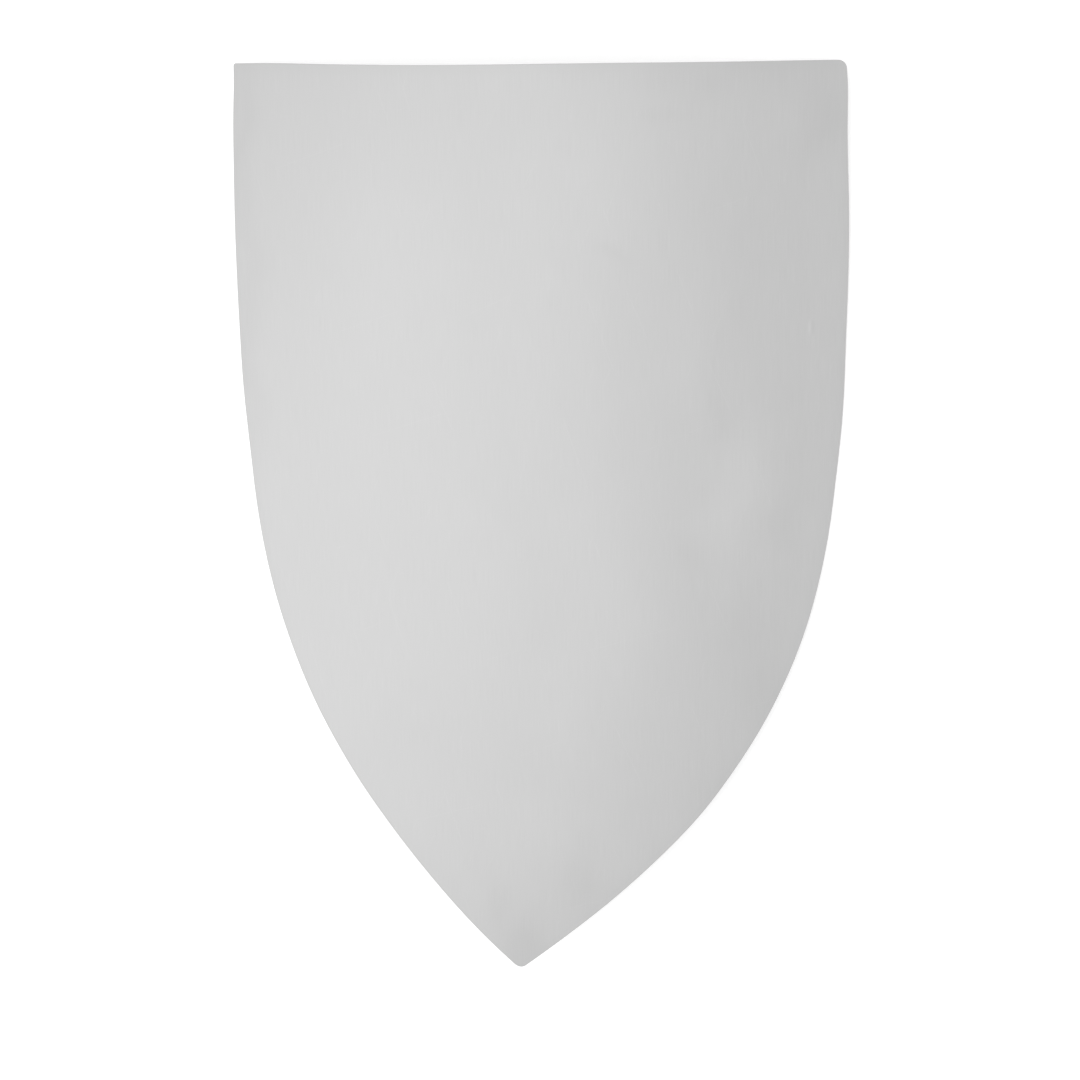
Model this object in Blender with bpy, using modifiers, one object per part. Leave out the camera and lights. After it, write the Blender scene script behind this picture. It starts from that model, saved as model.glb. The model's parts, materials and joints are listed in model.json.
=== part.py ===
"""A heater shield: one plate of sheet steel, cut to its outline, rolled about its long axis and laid face up.

The shield lies on its two side edges. Metres, +Z up, +Y towards the straight top edge, the tip at -Y.
Run it with Blender, in the background or from the text editor.
"""

import math

import bmesh
import bpy
import numpy as np

# The flat blank, before it is rolled. Each side is three arcs, each tangent to the next: a long flat one that
# runs through the widest place, a tighter one, and one that ends at the tip.
PLATE_WIDTH = 0.610
PLATE_LENGTH = 0.8435
SHEET_THICKNESS = 0.0015
TOP_TO_WIDEST = 0.1525
SIDE_ARC_RADIUS = 2.250
SIDE_ARC_ANGLE = 0.1067
MIDDLE_ARC_RADIUS = 0.546
MIDDLE_ARC_ANGLE = 0.6143
CORNER_RADIUS = 0.005
TIP_RADIUS = 0.005

# How many straight edges stand for each arc. One edge of the side arc is the flat that the shield lies on.
CORNER_EDGES = 3
SIDE_ARC_EDGES = 8
MIDDLE_ARC_EDGES = 12
LOWER_ARC_EDGES = 5
TIP_EDGES = 2

# The rolled form: flat strips that run the length of the plate, with their long edges on a cylinder.
ROLL_RADIUS = 0.914
STRIPS = 25
RIM_SOFTENING = 0.0004
RIM_EDGE_ANGLE = math.radians(60)

MERGE_DISTANCE = 0.00005
STEEL_COLOUR = (0.62, 0.62, 0.63, 1.0)
STEEL_ROUGHNESS = 0.38


def clear_scene():
    for obj in list(bpy.data.objects):
        bpy.data.objects.remove(obj, do_unlink=True)


def steel():
    """Bare sheet steel with a satin surface."""
    material = bpy.data.materials.new("satin_steel")
    material.use_nodes = True
    shader = material.node_tree.nodes["Principled BSDF"]
    shader.inputs["Base Color"].default_value = STEEL_COLOUR
    shader.inputs["Metallic"].default_value = 1.0
    shader.inputs["Roughness"].default_value = STEEL_ROUGHNESS
    return material


def toward(angle):
    """The direction at an angle turned clockwise from +X."""
    return np.array((math.cos(angle), -math.sin(angle)))


def arc(centre, radius, start, end, edges):
    """Points along a clockwise arc, both ends included."""
    angles = np.linspace(start, end, edges + 1)
    return centre + radius * np.column_stack((np.cos(angles), -np.sin(angles)))


def half_outline():
    """The right half of the flat blank, clockwise from the middle of the top edge to the tip."""
    half_width, half_length = PLATE_WIDTH / 2, PLATE_LENGTH / 2
    tip = np.array((0.0, -half_length))
    side_centre = np.array((half_width - SIDE_ARC_RADIUS, half_length - TOP_TO_WIDEST))

    # The corner is rounded by a small arc that touches the top edge and, from inside, the side arc.
    corner_height = half_length - CORNER_RADIUS
    above_widest = corner_height - side_centre[1]
    reach = math.sqrt((SIDE_ARC_RADIUS - CORNER_RADIUS) ** 2 - above_widest**2)
    corner_centre = np.array((side_centre[0] + reach, corner_height))
    side_start = -math.atan2(above_widest, reach)
    corner = arc(corner_centre, CORNER_RADIUS, -math.pi / 2, side_start, CORNER_EDGES)
    side = arc(side_centre, SIDE_ARC_RADIUS, side_start, SIDE_ARC_ANGLE, SIDE_ARC_EDGES)

    middle_end = SIDE_ARC_ANGLE + MIDDLE_ARC_ANGLE
    middle_centre = side[-1] - MIDDLE_ARC_RADIUS * toward(SIDE_ARC_ANGLE)
    middle = arc(middle_centre, MIDDLE_ARC_RADIUS, SIDE_ARC_ANGLE, middle_end, MIDDLE_ARC_EDGES)

    # The lower arc leaves the middle one on its tangent and would end at the tip's very point.
    to_tip = tip - middle[-1]
    lower_radius = -to_tip.dot(to_tip) / (2 * to_tip.dot(toward(middle_end)))
    lower_centre = middle[-1] - lower_radius * toward(middle_end)

    # The tip is rounded by a small arc on the centre line that touches the lower arc from inside.
    drop = math.sqrt((lower_radius - TIP_RADIUS) ** 2 - lower_centre[0] ** 2)
    tip_centre = np.array((0.0, lower_centre[1] - drop))
    lower_end = math.atan2(drop, -lower_centre[0])
    lower = arc(lower_centre, lower_radius, middle_end, lower_end, LOWER_ARC_EDGES)
    rounding = arc(tip_centre, TIP_RADIUS, lower_end, math.pi / 2, TIP_EDGES)

    top_middle = np.array([(0.0, half_length)])
    return np.concatenate((top_middle, corner, side[1:], middle[1:], lower[1:], rounding[1:]))


def strip_lines():
    """Distances of the strips' long edges from the centre line, on the right half of the flat blank."""
    return (np.arange((STRIPS + 1) // 2) + 0.5) * PLATE_WIDTH / STRIPS


def rolled(across):
    """Where points of the flat blank go when it is rolled: (sideways, height above the crest).

    The strips' long edges lie on the cylinder, and each strip between them is flat.
    """
    lines = np.concatenate((-strip_lines()[:1], strip_lines()))
    angles = lines / ROLL_RADIUS
    sideways = np.interp(across, lines, ROLL_RADIUS * np.sin(angles))
    height = np.interp(across, lines, ROLL_RADIUS * (np.cos(angles) - 1))
    return sideways, height


def flat_face(outline):
    """A filled 2D curve made a mesh of one flat face that looks up."""
    curve = bpy.data.curves.new("blank_outline", "CURVE")
    curve.dimensions = "2D"
    curve.fill_mode = "BOTH"
    spline = curve.splines.new("POLY")
    spline.points.add(len(outline) - 1)
    for point, (across, along) in zip(spline.points, outline):
        point.co = (across, along, 0.0, 1.0)
    spline.use_cyclic_u = True

    drawn = bpy.data.objects.new("blank_outline", curve)
    bpy.context.scene.collection.objects.link(drawn)
    graph = bpy.context.evaluated_depsgraph_get()
    mesh = bpy.data.meshes.new_from_object(drawn.evaluated_get(graph))
    bpy.data.objects.remove(drawn)
    return mesh


def roll_blank(mesh):
    """Cuts the right half of the flat blank into strips and bends it to the rolled form."""
    blank = bmesh.new()
    blank.from_mesh(mesh)
    bmesh.ops.remove_doubles(blank, verts=blank.verts, dist=MERGE_DISTANCE)
    inner_edges = [edge for edge in blank.edges if len(edge.link_faces) == 2]
    bmesh.ops.dissolve_edges(blank, edges=inner_edges, use_verts=False)
    for line in strip_lines()[:-1]:
        everything = blank.verts[:] + blank.edges[:] + blank.faces[:]
        bmesh.ops.bisect_plane(blank, geom=everything, plane_co=(line, 0, 0), plane_no=(1, 0, 0))
    for vertex in blank.verts:
        vertex.co.x, vertex.co.z = rolled(vertex.co.x)
    bmesh.ops.recalc_face_normals(blank, faces=blank.faces)
    if sum(face.normal.z for face in blank.faces) < 0:
        bmesh.ops.reverse_faces(blank, faces=blank.faces)
    blank.to_mesh(mesh)
    blank.free()


def make_plate(outline, collection):
    """The whole plate: the rolled half mirrored, given the sheet's thickness, its rim softened."""
    mesh = flat_face(outline)
    mesh.name = "shield_plate"
    roll_blank(mesh)
    mesh.shade_smooth()
    mesh.materials.append(steel())
    plate = bpy.data.objects.new("shield_plate", mesh)
    collection.objects.link(plate)

    mirror = plate.modifiers.new("both_halves", "MIRROR")
    mirror.merge_threshold = MERGE_DISTANCE

    sheet = plate.modifiers.new("sheet", "SOLIDIFY")
    sheet.thickness = SHEET_THICKNESS
    sheet.offset = -1
    sheet.use_even_offset = True

    rim = plate.modifiers.new("rim", "BEVEL")
    rim.width = RIM_SOFTENING
    rim.segments = 1
    rim.limit_method = "ANGLE"
    rim.angle_limit = RIM_EDGE_ANGLE
    rim.harden_normals = True
    return plate


def middle_of_area(outline):
    """How far along the blank its middle of area lies, by the shoelace formula."""
    across, along = outline.T
    next_across, next_along = np.roll(across, -1), np.roll(along, -1)
    cross = across * next_along - next_across * along
    return ((along + next_along) * cross).sum() / (3 * cross.sum())


def resting_tilt(outline):
    """The turn about X that levels the side edges' straight stretch below the plate's middle of area."""
    height = rolled(outline[:, 0])[1]
    below = np.flatnonzero(outline[:, 1] < middle_of_area(outline))[0]
    above = below - 1
    rise = height[below] - height[above]
    return math.atan2(rise, outline[above, 1] - outline[below, 1])


def set_down(obj):
    """Moves an object so that its box stands on z = 0 with its middle over the origin."""
    bpy.context.view_layer.update()
    shown = obj.evaluated_get(bpy.context.evaluated_depsgraph_get())
    points = np.array([shown.matrix_world @ vertex.co for vertex in shown.data.vertices])
    low, high = points.min(axis=0), points.max(axis=0)
    obj.location.x -= (low[0] + high[0]) / 2
    obj.location.y -= (low[1] + high[1]) / 2
    obj.location.z -= low[2]


def main():
    clear_scene()
    shield = bpy.data.collections.new("heater_shield")
    bpy.context.scene.collection.children.link(shield)
    outline = half_outline()
    plate = make_plate(outline, shield)
    plate.rotation_euler.x = resting_tilt(outline)
    set_down(plate)


main()
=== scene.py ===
"""The looks of a heater shield: one plate of satin sheet steel, lying face up in a plain pale studio.

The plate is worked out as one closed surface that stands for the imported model's, then given its finish and
light. Every size is in metres, with +Z up and +Y towards the shield's straight top edge. On the flat blank,
before it is rolled, a point is (across, along): across from the middle line to the right, and along from
mid-length to the top.
"""

import json
import math

import bpy
import numpy as np
from bpy.props import FloatProperty, FloatVectorProperty, IntProperty, PointerProperty
from mathutils import Matrix, Vector


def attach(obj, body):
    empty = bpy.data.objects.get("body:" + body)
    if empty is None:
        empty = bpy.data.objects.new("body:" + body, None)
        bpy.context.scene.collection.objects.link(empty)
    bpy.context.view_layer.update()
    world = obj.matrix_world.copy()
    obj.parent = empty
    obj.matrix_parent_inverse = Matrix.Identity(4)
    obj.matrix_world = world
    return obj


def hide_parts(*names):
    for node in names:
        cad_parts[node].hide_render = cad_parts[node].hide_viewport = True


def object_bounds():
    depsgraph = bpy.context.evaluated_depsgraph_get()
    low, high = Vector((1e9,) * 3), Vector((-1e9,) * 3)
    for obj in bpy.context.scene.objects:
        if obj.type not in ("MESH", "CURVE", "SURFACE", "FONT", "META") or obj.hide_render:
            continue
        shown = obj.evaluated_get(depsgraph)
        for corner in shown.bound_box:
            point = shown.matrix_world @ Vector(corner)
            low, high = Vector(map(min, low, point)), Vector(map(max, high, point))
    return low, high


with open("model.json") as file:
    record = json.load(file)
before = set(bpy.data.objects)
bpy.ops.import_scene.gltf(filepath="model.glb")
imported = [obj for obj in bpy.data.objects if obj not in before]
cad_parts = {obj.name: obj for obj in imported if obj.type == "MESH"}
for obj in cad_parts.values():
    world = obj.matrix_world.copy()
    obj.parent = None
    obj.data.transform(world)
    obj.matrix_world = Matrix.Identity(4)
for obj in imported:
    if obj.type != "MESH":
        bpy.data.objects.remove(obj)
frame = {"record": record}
CAD_LOW, CAD_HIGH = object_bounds()

bl_info = {
    "name": "Heater Shield",
    "version": (1, 0, 0),
    "blender": (4, 5, 0),
    "location": "3D View > Sidebar > Shield",
    "description": "Makes a rolled heater shield of satin sheet steel and the plain studio that it lies in",
    "category": "Add Mesh",
}

NODE = "shield_plate"
ROLL_RADIUS = 0.914


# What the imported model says


def resting_tilt():
    """The turn about X of the shield as it lies: the angle of its flat back strip's outward direction."""
    back = next(mount for mount in frame["record"]["mounts"] if mount["name"] == "back_middle")
    return math.atan2(back["axis"][1], -back["axis"][2])


def blank_width():
    """The flat blank's width: the arc, at the roll's radius, over a chord as long as the model is wide."""
    return 2 * ROLL_RADIUS * math.asin((CAD_HIGH.x - CAD_LOW.x) / (2 * ROLL_RADIUS))


def blank_length():
    """The flat blank's length: the model's, measured along the tilted crest."""
    return (CAD_HIGH.y - CAD_LOW.y) / math.cos(resting_tilt())


# Sizes and colours that a user may change


def length_property(name, description, default):
    return FloatProperty(
        name=name, description=description, default=default, min=0, precision=4, unit="LENGTH"
    )


def angle_property(name, description, default):
    return FloatProperty(
        name=name, description=description, default=default, precision=4, unit="ROTATION"
    )


def share_property(name, description, default):
    return FloatProperty(
        name=name, description=description, default=default, min=0, max=1, subtype="FACTOR"
    )


def light_property(name, description, default):
    return FloatProperty(name=name, description=description, default=default, min=0)


def place_property(name, description, default):
    return FloatProperty(
        name=name, description=description, default=default, precision=4, unit="LENGTH"
    )


def colour_property(name, description, default):
    return FloatVectorProperty(
        name=name, description=description, default=default, size=4, min=0, max=1, subtype="COLOR"
    )


class ShieldForm(bpy.types.PropertyGroup):
    """Sizes of the flat blank, of its roll and of its rim."""

    width: length_property("Blank width", "Width of the flat blank at its widest", blank_width())
    length: length_property("Blank length", "Length of the flat blank from top edge to tip", blank_length())
    thickness: length_property("Sheet thickness", "Thickness of the steel sheet", 0.0015)
    roll_radius: length_property("Roll radius", "Radius that the outer face is rolled to", ROLL_RADIUS)
    top_to_widest: length_property("Top to widest", "From the top edge down to the widest place", 0.1525)
    side_radius: length_property("Side radius", "Radius of the long arc through the widest place", 2.250)
    side_angle: angle_property("Side angle", "How far the side arc turns below the widest place", 0.1067)
    middle_radius: length_property("Middle radius", "Radius of the tighter arc below the side arc", 0.546)
    middle_angle: angle_property("Middle angle", "How far the middle arc turns", 0.6143)
    left_corner: length_property("Left corner", "Rounding of the top left corner", 0.003)
    right_corner: length_property("Right corner", "Rounding of the top right corner", 0.007)
    tip_radius: length_property("Tip radius", "Rounding of the tip", 0.009)
    rim_radius: length_property("Rim radius", "Rounding of the sheet's deburred edges", 0.0004)
    unevenness: length_property("Unevenness", "How far the sheet strays from a true cylinder", 0.0003)
    columns: IntProperty(
        name="Columns", description="Faces across each side of the plate", default=132, min=2
    )


class SteelFinish(bpy.types.PropertyGroup):
    """Colours and roughness of the steel's three finishes."""

    face_colour: colour_property("Face colour", "Colour of the satin face", (0.55, 0.55, 0.55, 1.0))
    face_roughness: share_property("Face roughness", "Roughness of the satin face", 0.38)
    back_colour: colour_property("Back colour", "Colour of the duller back", (0.45, 0.45, 0.45, 1.0))
    back_roughness: share_property("Back roughness", "Roughness of the duller back", 0.46)
    rim_colour: colour_property("Rim colour", "Colour of the filed rim", (0.55, 0.55, 0.55, 1.0))
    rim_roughness: share_property("Rim roughness", "Roughness of the filed rim", 0.34)
    streaks: share_property("Streaks", "How much the brushed streaks change the tone", 0.012)
    clouds: share_property("Clouds", "How much the broad patches change the tone", 0.012)
    scratches: share_property("Scratches", "How much lighter a fine scratch is", 0.10)
    grain_height: length_property("Grain height", "Height of the finest brushing", 0.000004)


class StudioSetup(bpy.types.PropertyGroup):
    """Floor, lights and camera."""

    floor_size: length_property("Floor size", "Side of the square floor", 40.0)
    floor_colour: colour_property("Floor colour", "Colour of the pale floor", (0.8, 0.8, 0.8, 1.0))
    floor_glow: share_property("Floor glow", "Light that comes up through the floor", 0.44)
    room_light: light_property("Room light", "Brightness of the room all round", 1.0)
    box_light: light_property("Box light", "Brightness of the soft box", 0.338)
    box_width: length_property("Box width", "Width of the soft box", 2.0)
    box_length: length_property("Box length", "Length of the soft box, along the shield", 5.9)
    box_distance: length_property("Box distance", "Distance of the soft box from the crest", 3.0)
    box_turn: angle_property("Box turn", "How far the soft box stands to the left", math.radians(44))
    box_lean: angle_property("Box lean", "How far the soft box stands towards the tip", math.radians(10.2))
    focal_length: FloatProperty(
        name="Focal length", description="Camera lens, in millimetres", default=90.0, min=1, unit="CAMERA"
    )
    camera_distance: length_property("Camera distance", "Distance of the camera from the crest", 2.4668)
    camera_turn: angle_property("Camera turn", "How far it stands to the right", math.radians(20.86))
    camera_lean: angle_property("Camera lean", "How far it stands to the top edge", math.radians(11.65))
    camera_roll: angle_property("Camera roll", "How far it is rolled clockwise", math.radians(0.94))
    aim_right: place_property("Aim right", "How far right of the crest the camera aims", 0.0234)
    aim_up: place_property("Aim up", "How far above mid-length the camera aims", -0.0072)


# The plate's shape

# Rows of faces along each arc of a side, from corner to tip, and faces over each rounding of the rim
ARC_ROWS = (8, 78, 68, 64, 8)
RIM_STEPS = 4

# How far inside the outline the regular grid ends, and the loop that keeps the faces beside the rim narrow
GRID_INSET = 0.0020
SUPPORT_INSET = 0.0008


def clockwise(angles):
    """Unit vectors turned clockwise from +X by each angle: (cosine, minus sine), one a row."""
    return np.column_stack((np.cos(angles), -np.sin(angles)))


def side_arcs(form, corner_radius):
    """The arcs of the blank's right side, from the top edge to the tip, each tangent to the next.

    Each is (centre, radius, first angle, last angle), with its angles clockwise from +X. The side arc's
    centre is level with the widest place. The middle arc's centre lies on the side arc's last radius, and
    the lower arc's on the middle arc's, so that neighbours share a tangent. The lower arc's radius takes it
    to the tip: minus the squared distance to the tip over twice that distance's part along the radius. The
    corner and the tip are small arcs that touch from inside.
    """
    half_width, half_length = form.width / 2, form.length / 2
    side_centre = np.array((half_width - form.side_radius, half_length - form.top_to_widest))
    corner_height = half_length - corner_radius
    above_widest = corner_height - side_centre[1]
    reach = math.sqrt((form.side_radius - corner_radius) ** 2 - above_widest**2)
    corner_centre = np.array((side_centre[0] + reach, corner_height))
    side_start = -math.atan2(above_widest, reach)

    side_end_way = clockwise([form.side_angle])[0]
    middle_end = form.side_angle + form.middle_angle
    middle_end_way = clockwise([middle_end])[0]
    middle_centre = side_centre + (form.side_radius - form.middle_radius) * side_end_way
    lower_start = middle_centre + form.middle_radius * middle_end_way

    to_tip = np.array((0.0, -half_length)) - lower_start
    lower_radius = -to_tip.dot(to_tip) / (2 * to_tip.dot(middle_end_way))
    lower_centre = lower_start - lower_radius * middle_end_way
    drop = math.sqrt((lower_radius - form.tip_radius) ** 2 - lower_centre[0] ** 2)
    tip_centre = np.array((0.0, lower_centre[1] - drop))
    lower_end = math.atan2(drop, -lower_centre[0])
    return (
        (corner_centre, corner_radius, -math.pi / 2, side_start),
        (side_centre, form.side_radius, side_start, form.side_angle),
        (middle_centre, form.middle_radius, form.side_angle, middle_end),
        (lower_centre, lower_radius, middle_end, lower_end),
        (tip_centre, form.tip_radius, lower_end, math.pi / 2),
    )


def side_line(arcs, inset):
    """Points down the blank's right side: centre + (radius - inset) times the unit vector at each angle."""
    centre, radius, start, _ = arcs[0]
    lines = [centre + (radius - inset) * clockwise([start])]
    for (centre, radius, start, end), rows in zip(arcs, ARC_ROWS):
        angles = np.linspace(start, end, rows + 1)[1:]
        lines.append(centre + (radius - inset) * clockwise(angles))
    return np.concatenate(lines)


def both_sides(form, inset):
    """The left and right side lines at one inset. The left one is worked out on the right and mirrored."""
    left = side_line(side_arcs(form, form.left_corner), inset) * (-1, 1)
    right = side_line(side_arcs(form, form.right_corner), inset)
    return left, right


def steepness(line):
    """How far a side line drops at each point for each step along it: 1 where it runs straight down."""
    step = np.gradient(line, axis=0)
    return np.abs(step[:, 1]) / np.linalg.norm(step, axis=1)


def face_grid(form):
    """The blank inside the grid's inset, as points and their distances from the outline.

    Each row is left + share * (right - left), and the tip is one last point. A distance is the grid's inset
    plus the shortest way to the grid's own border: the rise to its top row, or the part of the row on one
    side times that side's steepness.
    """
    left, right = both_sides(form, GRID_INSET)
    steep = steepness(right)[:-1, None]
    tip = right[-1:]
    left, right = left[:-1, None], right[:-1, None]
    share = np.linspace(0, 1, form.columns + 1)[None, :, None]
    rows = left + share * (right - left)

    to_left = (rows - left)[..., 0] * steep
    to_right = (right - rows)[..., 0] * steep
    to_top = left[0, 0, 1] - rows[..., 1]
    distance = GRID_INSET + np.minimum(to_top, np.minimum(to_left, to_right))
    return np.concatenate((rows.reshape(-1, 2), tip)), np.append(distance, GRID_INSET)


def rim_loop(form, inset):
    """The outline at one inset, clockwise: along the top edge, down the right side and up the left."""
    left, right = both_sides(form, inset)
    share = np.linspace(0, 1, form.columns + 1)[:, None]
    top = left[0] + share * (right[0] - left[0])
    return np.concatenate((top, right[1:], left[-2:0:-1]))


def rim_section(form):
    """The sheet's edge in section, from the face's grid to the back's, as rows of (inset, depth).

    Two points on the face lead to a quarter round, (radius * (1 - sine), radius * (1 - cosine)), and all of
    them come again from the back, mirrored in the middle of the sheet.
    """
    turn = np.linspace(0, math.pi / 2, RIM_STEPS + 1)
    quarter = form.rim_radius * (1 - np.column_stack((np.sin(turn), np.cos(turn))))
    upper = np.concatenate((((GRID_INSET, 0.0), (SUPPORT_INSET, 0.0)), quarter))
    lower = upper[::-1] * (1, -1) + (0, form.thickness)
    return np.concatenate((upper, lower))


def way_along(points):
    """The distance from the first point to each, along the line of them."""
    steps = np.linalg.norm(np.diff(points, axis=0), axis=1)
    return np.append(0.0, np.cumsum(steps))


def rim_places(form):
    """The corners of each face of the rim on the rim's own pattern: (way over the section, way round)."""
    outline = rim_loop(form, 0.0)
    over = way_along(rim_section(form))
    around = way_along(np.concatenate((outline, outline[:1])))
    place = np.stack(np.meshgrid(over, around, indexing="ij"), axis=-1)
    return np.stack((place[:-1, :-1], place[:-1, 1:], place[1:, 1:], place[1:, :-1]), axis=2)


# Long waves of the sheet: share, radians a metre across and angle on the middle line, then the same along
SHEET_WAVES = (
    (1.00, 7.3, 0.4, 4.1, 1.1),
    (0.60, 11.9, 2.3, 7.7, 0.2),
    (0.35, 19.1, 4.0, 13.3, 2.9),
    (0.25, 5.3, 1.9, 17.9, 5.1),
)


def unevenness(form, flat):
    """How far the sheet strays outwards: a sum of long waves, each a sine across times a sine along."""
    across, along = flat.T
    waves = (
        share * np.sin(across_rate * across + across_start) * np.sin(along_rate * along + along_start)
        for share, across_rate, across_start, along_rate, along_start in SHEET_WAVES
    )
    return form.unevenness * sum(waves)


# Soft strays of the hand-cut outline: where along it each is fullest, its half length, and how far it takes
# the outline: to the right for a sway, outwards on both sides for a swell, and up for one of the top edge
SWAYS = (
    (0.405, 0.030, 0.0017),
    (0.160, 0.100, -0.0009),
    (-0.030, 0.090, -0.0009),
    (-0.265, 0.055, 0.0012),
    (-0.400, 0.050, -0.0024),
)
SWELLS = (
    (0.340, 0.050, -0.0007),
    (0.115, 0.050, 0.0013),
    (-0.090, 0.050, 0.0006),
    (-0.225, 0.035, -0.0010),
)
TOP_STRAYS = (
    (-0.250, 0.045, 0.0006),
    (-0.075, 0.110, -0.0010),
    (0.270, 0.050, 0.0004),
)


def soft_strays(strays, place):
    """The sum of each stray's reach * exp(-d^2), with d the distance from its middle in half lengths."""
    return sum(
        reach * np.exp(-(((place - middle) / half_length) ** 2)) for middle, half_length, reach in strays
    )


def hand_cut(form, flat):
    """Points of the true blank moved with its hand-cut outline, and less the further they are from it.

    A swell counts by the point's share of the half width, and a stray of the top edge by the square of its
    share of the half length.
    """
    across, along = flat.T
    outwards = 2 * across / form.width
    upwards = np.clip(2 * along / form.length, 0, 1) ** 2
    return np.column_stack((
        across + soft_strays(SWAYS, along) + outwards * soft_strays(SWELLS, along),
        along + upwards * soft_strays(TOP_STRAYS, across),
    ))


def rolled(form, flat, depth):
    """Flat points bent round the roll: (r sin a, along, r cos a - R).

    R is the roll's radius, a is across / R, and r is R + the sheet's stray - the depth under the face.
    """
    across, along = hand_cut(form, flat).T
    angle = across / form.roll_radius
    radius = form.roll_radius + unevenness(form, flat) - depth
    return np.column_stack((radius * np.sin(angle), along, radius * np.cos(angle) - form.roll_radius))


def shield_turn():
    """The matrix that turns the shield's own axes (across, along, out of the face) to how it lies."""
    return Matrix.Rotation(resting_tilt(), 3, "X")


def crest_middle(form):
    """Where the middle of the crest lies: the turned rim stands as low as the model, and as central."""
    section = rim_section(form)
    rim = np.concatenate([rolled(form, rim_loop(form, inset), depth) for inset, depth in section])
    turned = rim @ np.array(shield_turn()).T
    low, high = turned.min(axis=0), turned.max(axis=0)
    across, along = ((CAD_LOW + CAD_HIGH) / 2).xy - Vector((low + high) / 2).xy
    return Vector((across, along, CAD_LOW.z - low[2]))


def grid_faces(form, first):
    """A grid's quads, for rows that run top down and each left to right, and the triangles at its tip."""
    columns, rows = form.columns, sum(ARC_ROWS)
    corner = first + (np.arange(rows - 1)[:, None] * (columns + 1) + np.arange(columns)).reshape(-1)
    below = corner + columns + 1
    quads = np.column_stack((corner, below, below + 1, corner + 1))
    last = first + (rows - 1) * (columns + 1) + np.arange(columns)
    tip = np.full(columns, first + rows * (columns + 1))
    return quads, np.column_stack((last, tip, last + 1))


def grid_border(form, first):
    """A grid's border points, in the order of a rim loop."""
    columns, rows = form.columns, sum(ARC_ROWS)
    top = np.arange(columns + 1)
    right = np.arange(1, rows) * (columns + 1) + columns
    tip = [rows * (columns + 1)]
    left = np.arange(rows - 1, 0, -1) * (columns + 1)
    return first + np.concatenate((top, right, tip, left))


def band_faces(loops):
    """The quads between each closed loop of points and the next, one row a band."""
    here, there = loops[:-1], loops[1:]
    return np.stack((here, np.roll(here, -1, axis=1), np.roll(there, -1, axis=1), there), axis=-1)


FACE, RIM, BACK = range(3)


class PlateSurface:
    """The plate as one closed surface: a grid on the face, bands round the rim and a grid on the back.

    Each point has its place on the blank, its depth under the outer face and its inset, the distance from
    the outline. Each face has its points, its finish and, for each corner, a place on the finish's pattern.
    """

    def __init__(self, form):
        grid, grid_inset = face_grid(form)
        section = rim_section(form)[1:-1]
        loops = np.array([rim_loop(form, inset) for inset in section[:, 0]])
        around = loops.shape[1]
        first_loop = len(grid)
        first_back = first_loop + loops.shape[0] * around
        self.flat = np.concatenate((grid, loops.reshape(-1, 2), grid))
        self.depth = np.concatenate((
            np.zeros(len(grid)),
            np.repeat(section[:, 1], around),
            np.full(len(grid), form.thickness),
        ))
        self.inset = np.concatenate((grid_inset, np.repeat(section[:, 0], around), grid_inset))

        loop_points = np.arange(first_loop, first_back).reshape(-1, around)
        bands = band_faces(np.vstack((grid_border(form, 0), loop_points, grid_border(form, first_back))))
        face_quads, face_tip = grid_faces(form, 0)
        back_quads, back_tip = (faces[:, ::-1] for faces in grid_faces(form, first_back))
        self.quads = np.concatenate((face_quads, bands.reshape(-1, 4), back_quads))
        self.triangles = np.concatenate((face_tip, back_tip))

        # The first two bands lie flat on the face and the last two on the back. The rest are the rim.
        band_finish = np.full(len(bands), RIM)
        band_finish[:2] = FACE
        band_finish[-2:] = BACK
        self.finish = np.concatenate((
            np.full(len(face_quads), FACE),
            np.repeat(band_finish, around),
            np.full(len(back_quads), BACK),
            np.full(len(face_tip), FACE),
            np.full(len(back_tip), BACK),
        ))

        quad_places = self.flat[self.quads]
        on_rim = self.finish[:len(self.quads)] == RIM
        rim_bands = rim_places(form)[band_finish == RIM]
        quad_places[on_rim] = rim_bands.reshape(-1, 4, 2)
        self.places = np.concatenate((quad_places.reshape(-1, 2), self.flat[self.triangles].reshape(-1, 2)))


# Painted reflections and painted shade in the face's tone

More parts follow.
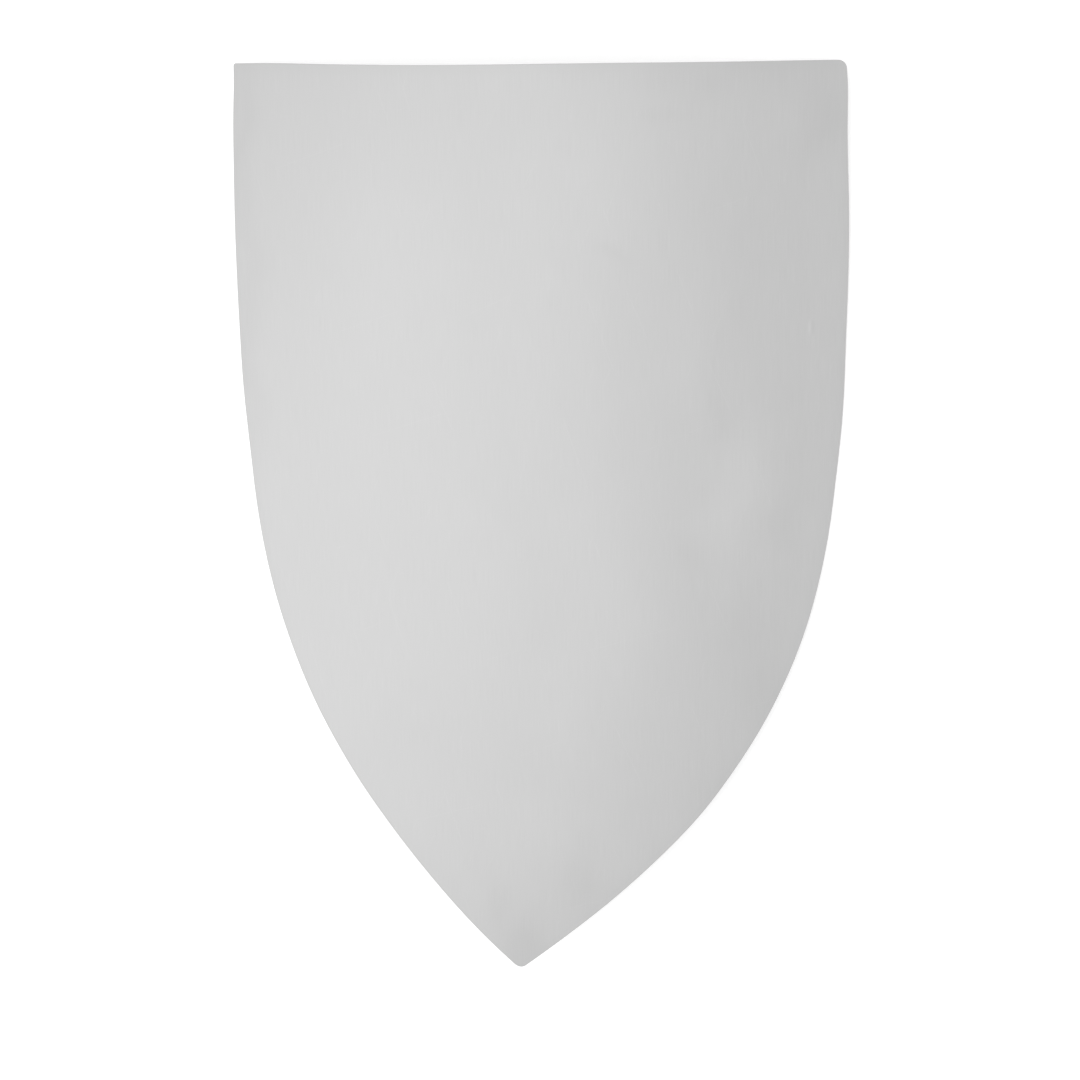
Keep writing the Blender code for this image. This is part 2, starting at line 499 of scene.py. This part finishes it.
# Painted spots on the face, lighter ones painted reflections of the sheet's unevenness and darker ones
# painted shade where the light falls off, as at the top right corner and the tip: how far across and along,
# half width, half length, and how much lighter or darker
PAINTED_SHEEN_AND_SHADE_SPOTS = (
    (0.206, 0.040, 0.027, 0.067, 0.061),
    (0.166, 0.180, 0.020, 0.100, 0.022),
    (-0.125, 0.200, 0.070, 0.120, 0.020),
    (-0.289, 0.355, 0.014, 0.065, -0.030),
    (-0.290, 0.160, 0.020, 0.130, -0.036),
    (0.276, 0.372, 0.020, 0.036, -0.047),
    (0.232, 0.396, 0.020, 0.018, -0.018),
    (0.180, 0.414, 0.120, 0.018, -0.022),
    (0.078, 0.392, 0.026, 0.040, -0.016),
    (0.048, 0.250, 0.028, 0.150, -0.012),
    (0.010, 0.378, 0.050, 0.030, -0.012),
    (0.131, 0.382, 0.018, 0.006, -0.022),
    (0.090, 0.251, 0.018, 0.009, -0.018),
    (0.100, 0.130, 0.020, 0.090, -0.010),
    (0.188, 0.118, 0.014, 0.018, -0.022),
    (0.255, 0.010, 0.014, 0.045, -0.016),
    (0.205, -0.083, 0.030, 0.030, -0.022),
    (0.165, -0.008, 0.010, 0.022, -0.012),
    (0.234, -0.150, 0.030, 0.050, -0.040),
    (0.188, -0.232, 0.030, 0.040, -0.022),
    (0.018, -0.050, 0.022, 0.100, -0.012),
    (0.095, -0.085, 0.034, 0.075, 0.026),
    (0.045, -0.170, 0.032, 0.060, 0.020),
    (0.025, -0.280, 0.050, 0.038, 0.022),
    (-0.130, -0.210, 0.060, 0.035, -0.012),
    (0.000, -0.393, 0.024, 0.030, -0.070),
    (-0.026, -0.350, 0.014, 0.022, -0.034),
    (0.062, -0.347, 0.030, 0.028, -0.032),
)

# Slow sines that shift the painted spots, so that none is a plain oval: reach, radians a metre, angle at
# zero
ACROSS_SHIFTS = ((0.006, 41, 1.3), (0.003, 97, 0.4))
ALONG_SHIFTS = ((0.009, 37, 2.1), (0.004, 89, 4.0))

# The painted shade along the outline: how much darker it is there, and how far in it fades
RIM_PAINTED_SHADE = 0.030
RIM_PAINTED_SHADE_REACH = 0.005


def slow_sines(sines, place):
    """The sum of reach * sin(rate * place + start) over the sines."""
    return sum(reach * np.sin(rate * place + start) for reach, rate, start in sines)


def painted_sheen_and_shade(flat, inset):
    """How much lighter the face is painted at each point, as a share: painted reflections and painted shade.

    Each painted spot adds lighter * exp(-d^2), with d the distance from its middle in half widths and half
    lengths, once the slow sines have shifted the points. The painted shade on the outline adds -shade *
    exp(-inset / reach).
    """
    across, along = flat.T
    across = across + slow_sines(ACROSS_SHIFTS, along)
    along = along + slow_sines(ALONG_SHIFTS, across)
    # Painted shade along the outline, darkest at the edge
    tone = -RIM_PAINTED_SHADE * np.exp(-inset / RIM_PAINTED_SHADE_REACH)
    # Painted reflections and painted shade, one soft spot at a time
    for middle_across, middle_along, half_width, half_length, lighter in PAINTED_SHEEN_AND_SHADE_SPOTS:
        distance = np.hypot((across - middle_across) / half_width, (along - middle_along) / half_length)
        tone += lighter * np.exp(-(distance**2))
    return tone


# Steel finishes

PATTERN = "pattern"
TONE = "tone"

# A scratch, in shares of its cell: the least way from a side to its middle, the most that it leans from end
# to end, its longest half length and how far its ends fade. Then the share of the cells that have none.
SCRATCH_MARGIN = 0.2
SCRATCH_LEAN = 0.3
SCRATCH_HALF_LENGTH = 0.45
SCRATCH_FADE = 0.125
BARE_CELLS = 0.45


class MetalNodes:
    """A new bare-metal material and the nodes added to it. Most calls give an output to link on."""

    def __init__(self, name):
        self.material = bpy.data.materials.new(name)
        self.material.use_nodes = True
        self.shader = self.material.node_tree.nodes["Principled BSDF"]
        self.shader.inputs["Metallic"].default_value = 1.0
        self.where = self.add("ShaderNodeUVMap", {}, uv_map=PATTERN)

    def join(self, value, socket):
        """Links an output to an input, or sets the input where the value is a plain one."""
        if isinstance(value, bpy.types.NodeSocket):
            self.material.node_tree.links.new(value, socket)
        else:
            socket.default_value = value

    def add(self, kind, inputs, output=0, **settings):
        """One node with its settings and inputs, and the output that is wanted."""
        node = self.material.node_tree.nodes.new(kind)
        for name, value in settings.items():
            setattr(node, name, value)
        for name, value in inputs.items():
            self.join(value, node.inputs[name])
        return node.outputs[output]

    def maths(self, operation, *values, clamp=False):
        """One sum or other step of maths on values and outputs, kept from 0 to 1 where it is clamped."""
        return self.add("ShaderNodeMath", dict(enumerate(values)), operation=operation, use_clamp=clamp)

    def split(self, vector):
        """A vector's three parts, each an output."""
        return self.add("ShaderNodeSeparateXYZ", {0: vector}).node.outputs

    def cells(self, size, turn=0.0, middle=(0.0, 0.0)):
        """The place on the pattern, counted in cells of a size from a middle, with the cells turned."""
        inputs = {
            "Vector": self.where,
            "Location": (*middle, 0.0),
            "Rotation": (0.0, 0.0, turn),
            "Scale": (*size, 1.0),
        }
        return self.add("ShaderNodeMapping", inputs, vector_type="TEXTURE")

    def noise(self, size, detail=2.0, roughness=0.5):
        """Smooth noise from -1 to 1 with features of a size."""
        inputs = {"Vector": self.cells(size), "Scale": 1.0, "Detail": detail, "Roughness": roughness}
        noise = self.add("ShaderNodeTexNoise", inputs, noise_dimensions="2D")
        return self.maths("MULTIPLY_ADD", noise, 2.0, -1.0)

    def scratches(self, spacing, reach, turn, width):
        """Straight fine lines, one in about half the cells, with its place, slant and length by chance.

        On a line the value is 1 - the way from its middle over half its width. It fades to 0 at the ends.
        """
        place = self.cells((spacing, reach), turn)
        cell = self.add("ShaderNodeVectorMath", {0: place}, operation="FLOOR")
        inside = self.add("ShaderNodeVectorMath", {0: place}, operation="FRACTION")
        chance = self.add("ShaderNodeTexWhiteNoise", {"Vector": cell}, output=1, noise_dimensions="3D")
        across, along, _ = self.split(inside)
        offset, slant, length = self.split(chance)

        from_middle = self.maths("SUBTRACT", along, 0.5)
        leaning = self.maths("MULTIPLY", self.maths("SUBTRACT", slant, 0.5), from_middle)
        middle = self.maths("MULTIPLY_ADD", offset, 1 - 2 * SCRATCH_MARGIN, SCRATCH_MARGIN)
        line = self.maths("MULTIPLY_ADD", leaning, SCRATCH_LEAN, middle)
        away = self.maths("ABSOLUTE", self.maths("SUBTRACT", across, line))
        on_line = self.maths("MULTIPLY_ADD", away, -2 * spacing / width, 1.0, clamp=True)

        half_length = self.maths("MULTIPLY", length, SCRATCH_HALF_LENGTH)
        left_over = self.maths("SUBTRACT", half_length, self.maths("ABSOLUTE", from_middle))
        within = self.maths("DIVIDE", left_over, SCRATCH_FADE, clamp=True)
        drawn = self.maths("GREATER_THAN", slant, BARE_CELLS)
        return self.maths("MULTIPLY", on_line, self.maths("MULTIPLY", within, drawn))

    def nick(self, middle, half_size):
        """One soft oval mark: 1 in its middle, falling to 0 at its half size."""
        place = self.cells(half_size, middle=middle)
        away = self.add("ShaderNodeVectorMath", {0: place}, output=1, operation="LENGTH")
        return self.maths("SUBTRACT", 1.0, away, clamp=True)

    def total(self, start, *parts):
        """Start + the sum of share * pattern over the parts."""
        value = start
        for share, pattern in parts:
            value = self.maths("MULTIPLY_ADD", pattern, share, value)
        return value

    def strongest(self, patterns):
        """The highest of the patterns at each place."""
        value, *others = patterns
        for pattern in others:
            value = self.maths("MAXIMUM", value, pattern)
        return value

    def finish(self, colour, tone, roughness, height, distance):
        """Puts colour * tone, the roughness and the fine relief on the shader, and gives the material."""
        scaled = self.add("ShaderNodeVectorMath", {0: colour[:3], "Scale": tone}, operation="SCALE")
        relief = self.add("ShaderNodeBump", {"Height": height, "Distance": distance})
        self.join(scaled, self.shader.inputs["Base Color"])
        self.join(roughness, self.shader.inputs["Roughness"])
        self.join(relief, self.shader.inputs["Normal"])
        return self.material


# The face's families of scratches: the size of their cells across and along, how they are turned, and width
FACE_SCRATCHES = (
    (0.055, 0.090, math.radians(24), 0.00025),
    (0.083, 0.120, math.radians(-67), 0.00022),
    (0.031, 0.037, math.radians(-19), 0.00018),
)
BACK_SCRATCHES = (0.048, 0.110, math.radians(8), 0.0003)

# The one nick in the face, drawn only in colour: the middles of its painted highlight on the lip and of its
# painted shadow in the hollow, and the half size of both
NICK_HIGHLIGHT = (0.2711, 0.1905)
NICK_SHADOW = (0.2743, 0.1905)
NICK_SIZE = (0.0020, 0.0085)


def satin_face(steel):
    """Satin brushed along the shield, with streaks, painted reflections and painted shade in soft patches,
    clouds, a few fine scratches and one nick painted as a highlight and a shadow.
    """
    nodes = MetalNodes("satin_face")
    painted_light_spots = nodes.add("ShaderNodeAttribute", {}, output=2, attribute_name=TONE)
    grain = nodes.noise((0.0003, 0.028), detail=3.0)
    streaks = nodes.noise((0.007, 0.50), detail=3.0)
    clouds = nodes.noise((0.16, 0.22), detail=3.0, roughness=0.55)
    mottling = nodes.noise((0.022, 0.034), detail=3.0, roughness=0.6)
    scratches = nodes.strongest([nodes.scratches(*family) for family in FACE_SCRATCHES])
    # The nick's lip gets a painted highlight and its hollow a painted shadow
    nick_highlight = nodes.nick(NICK_HIGHLIGHT, NICK_SIZE)
    nick_shadow = nodes.nick(NICK_SHADOW, NICK_SIZE)
    # The tone starts from the painted reflections and painted shade kept in the tone attribute
    tone = nodes.total(
        nodes.maths("ADD", painted_light_spots, 1.0),
        (steel.streaks, streaks),
        (steel.clouds, clouds),
        (0.010, mottling),
        (0.045, grain),
        (steel.scratches, scratches),
        # The nick's painted highlight and painted shadow
        (0.070, nick_highlight),
        (-0.045, nick_shadow),
    )
    roughness = nodes.total(
        steel.face_roughness,
        (0.05, clouds),
        (0.03, streaks),
        (0.03, mottling),
        (-0.10, scratches),
    )
    return nodes.finish(steel.face_colour, tone, roughness, grain, steel.grain_height)


def plain_back(steel):
    """The back as it came from the mill: duller, with rolling marks along it and mottled patches."""
    nodes = MetalNodes("plain_back")
    pits = nodes.noise((0.0011, 0.0014), detail=3.0, roughness=0.6)
    rolling = nodes.noise((0.010, 0.60), detail=4.0, roughness=0.6)
    patches = nodes.noise((0.045, 0.070), detail=5.0, roughness=0.62)
    clouds = nodes.noise((0.20, 0.26), detail=2.0)
    scratches = nodes.scratches(*BACK_SCRATCHES)
    tone = nodes.total(
        1.0,
        (0.05, patches),
        (0.05, clouds),
        (0.03, rolling),
        (0.02, pits),
        (0.14, scratches),
    )
    roughness = nodes.total(steel.back_roughness, (0.10, patches), (0.04, rolling), (-0.10, scratches))
    return nodes.finish(steel.back_colour, tone, roughness, pits, steel.grain_height)


def filed_rim(steel):
    """The cut edge, filed bright along its length, with file marks and darker places left from the cut."""
    nodes = MetalNodes("filed_rim")
    file_marks = nodes.noise((0.00009, 0.006), detail=2.0)
    dark_places = nodes.noise((0.004, 0.030), detail=3.0)
    tone = nodes.total(1.0, (0.08, file_marks), (0.10, dark_places))
    roughness = nodes.total(steel.rim_roughness, (0.08, file_marks), (0.06, dark_places))
    return nodes.finish(steel.rim_colour, tone, roughness, file_marks, steel.grain_height)


class SHIELD_OT_plate(bpy.types.Operator):
    """Make the rolled plate, with its satin face, its filed rim and its plain back"""

    bl_idname = "shield.plate"
    bl_label = "Shield Plate"
    bl_options = {"REGISTER", "UNDO"}

    def execute(self, context):
        form, steel = context.scene.shield_form, context.scene.shield_steel
        surface = PlateSurface(form)
        points = rolled(form, surface.flat, surface.depth) @ np.array(shield_turn()).T
        mesh = bpy.data.meshes.new("plate")
        faces = surface.quads.tolist() + surface.triangles.tolist()
        mesh.from_pydata(points + np.array(crest_middle(form)), [], faces)
        for material in (satin_face(steel), filed_rim(steel), plain_back(steel)):
            mesh.materials.append(material)
        mesh.polygons.foreach_set("material_index", surface.finish.astype(np.int32))
        pattern = mesh.uv_layers.new(name=PATTERN)
        pattern.uv.foreach_set("vector", surface.places.astype(np.float32).ravel())
        tone = mesh.attributes.new(TONE, "FLOAT", "POINT")
        # The tone attribute holds painted reflections and painted shade for the face
        tone.data.foreach_set("value", painted_sheen_and_shade(surface.flat, surface.inset).astype(np.float32))
        mesh.shade_smooth()
        if mesh.validate():
            raise RuntimeError("The plate's mesh had faults")

        plate = bpy.data.objects.new("plate", mesh)
        context.scene.collection.objects.link(plate)
        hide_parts(NODE)
        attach(plate, "root")
        return {"FINISHED"}


# The studio


def shield_direction(turn, lean):
    """The way from the crest that is turned to the right of the face's and leans towards the top edge."""
    across, out = math.sin(turn) * math.cos(lean), math.cos(turn) * math.cos(lean)
    return shield_turn() @ Vector((across, math.sin(lean), out))


def make_floor(studio):
    """A square pale floor of milky sheet, lit a little from below like a light table, for soft shadows."""
    half = studio.floor_size / 2
    corners = [(-half, -half, 0), (half, -half, 0), (half, half, 0), (-half, half, 0)]
    mesh = bpy.data.meshes.new("floor")
    mesh.from_pydata(corners, [], [(0, 1, 2, 3)])
    material = bpy.data.materials.new("milky_sheet")
    material.use_nodes = True
    shader = material.node_tree.nodes["Principled BSDF"]
    shader.inputs["Base Color"].default_value = studio.floor_colour
    shader.inputs["Roughness"].default_value = 0.8
    shader.inputs["Emission Color"].default_value = (1, 1, 1, 1)
    shader.inputs["Emission Strength"].default_value = studio.floor_glow
    mesh.materials.append(material)
    floor = bpy.data.objects.new("floor", mesh)
    bpy.context.scene.collection.objects.link(floor)


def make_room_light(studio):
    """Even white light from all round."""
    world = bpy.data.worlds.new("white_room")
    world.use_nodes = True
    background = world.node_tree.nodes["Background"]
    background.inputs["Color"].default_value = (1, 1, 1, 1)
    background.inputs["Strength"].default_value = studio.room_light
    bpy.context.scene.world = world


def make_soft_box(studio, crest):
    """A long soft box to the shield's left. Its power is pi times its area times its brightness."""
    way = shield_direction(-studio.box_turn, -studio.box_lean)
    light = bpy.data.lights.new("soft_box", "AREA")
    light.shape = "RECTANGLE"
    light.size, light.size_y = studio.box_width, studio.box_length
    light.energy = math.pi * studio.box_width * studio.box_length * studio.box_light
    box = bpy.data.objects.new("soft_box", light)
    box.location = crest + studio.box_distance * way
    box.rotation_euler = way.to_track_quat("Z", "Y").to_euler()
    bpy.context.scene.collection.objects.link(box)


def make_camera(studio, crest):
    """A long lens over the shield, with its right and up turned clockwise about the way back to it."""
    back = shield_direction(studio.camera_turn, studio.camera_lean)
    level = shield_direction(studio.camera_turn + math.pi / 2, 0)
    right = Matrix.Rotation(-studio.camera_roll, 3, back) @ level
    up = back.cross(right)
    camera_data = bpy.data.cameras.new("camera")
    camera_data.lens = studio.focal_length
    camera = bpy.data.objects.new("camera", camera_data)
    place = crest + studio.camera_distance * back + studio.aim_right * right + studio.aim_up * up
    camera.matrix_world = Matrix.Translation(place) @ Matrix((right, up, back)).transposed().to_4x4()
    bpy.context.scene.collection.objects.link(camera)
    bpy.context.scene.camera = camera


class SHIELD_OT_studio(bpy.types.Operator):
    """Set up the pale floor, the soft light and the camera"""

    bl_idname = "shield.studio"
    bl_label = "Studio"
    bl_options = {"REGISTER", "UNDO"}

    def execute(self, context):
        studio = context.scene.shield_studio
        crest = crest_middle(context.scene.shield_form)
        make_floor(studio)
        make_room_light(studio)
        make_soft_box(studio, crest)
        make_camera(studio, crest)
        context.scene.view_settings.view_transform = "Standard"
        return {"FINISHED"}


# The add-on


class SHIELD_PT_panel(bpy.types.Panel):
    """Lists the shield's sizes and finishes, and the steps that make it"""

    bl_idname = "SHIELD_PT_panel"
    bl_label = "Heater Shield"
    bl_space_type = "VIEW_3D"
    bl_region_type = "UI"
    bl_category = "Shield"

    def draw(self, context):
        steps = (
            (context.scene.shield_form, None),
            (context.scene.shield_steel, SHIELD_OT_plate),
            (context.scene.shield_studio, SHIELD_OT_studio),
        )
        for group, operator in steps:
            column = self.layout.box().column()
            for name in group.__annotations__:
                column.prop(group, name)
            if operator:
                self.layout.operator(operator.bl_idname)


SETTINGS = {"shield_form": ShieldForm, "shield_steel": SteelFinish, "shield_studio": StudioSetup}
CLASSES = (*SETTINGS.values(), SHIELD_OT_plate, SHIELD_OT_studio, SHIELD_PT_panel)


def register():
    for cls in CLASSES:
        bpy.utils.register_class(cls)
    for name, group in SETTINGS.items():
        setattr(bpy.types.Scene, name, PointerProperty(type=group))


def unregister():
    for name in SETTINGS:
        delattr(bpy.types.Scene, name)
    for cls in reversed(CLASSES):
        bpy.utils.unregister_class(cls)


def main():
    register()
    bpy.ops.shield.plate()
    bpy.ops.shield.studio()


if __name__ == "__main__":
    main()
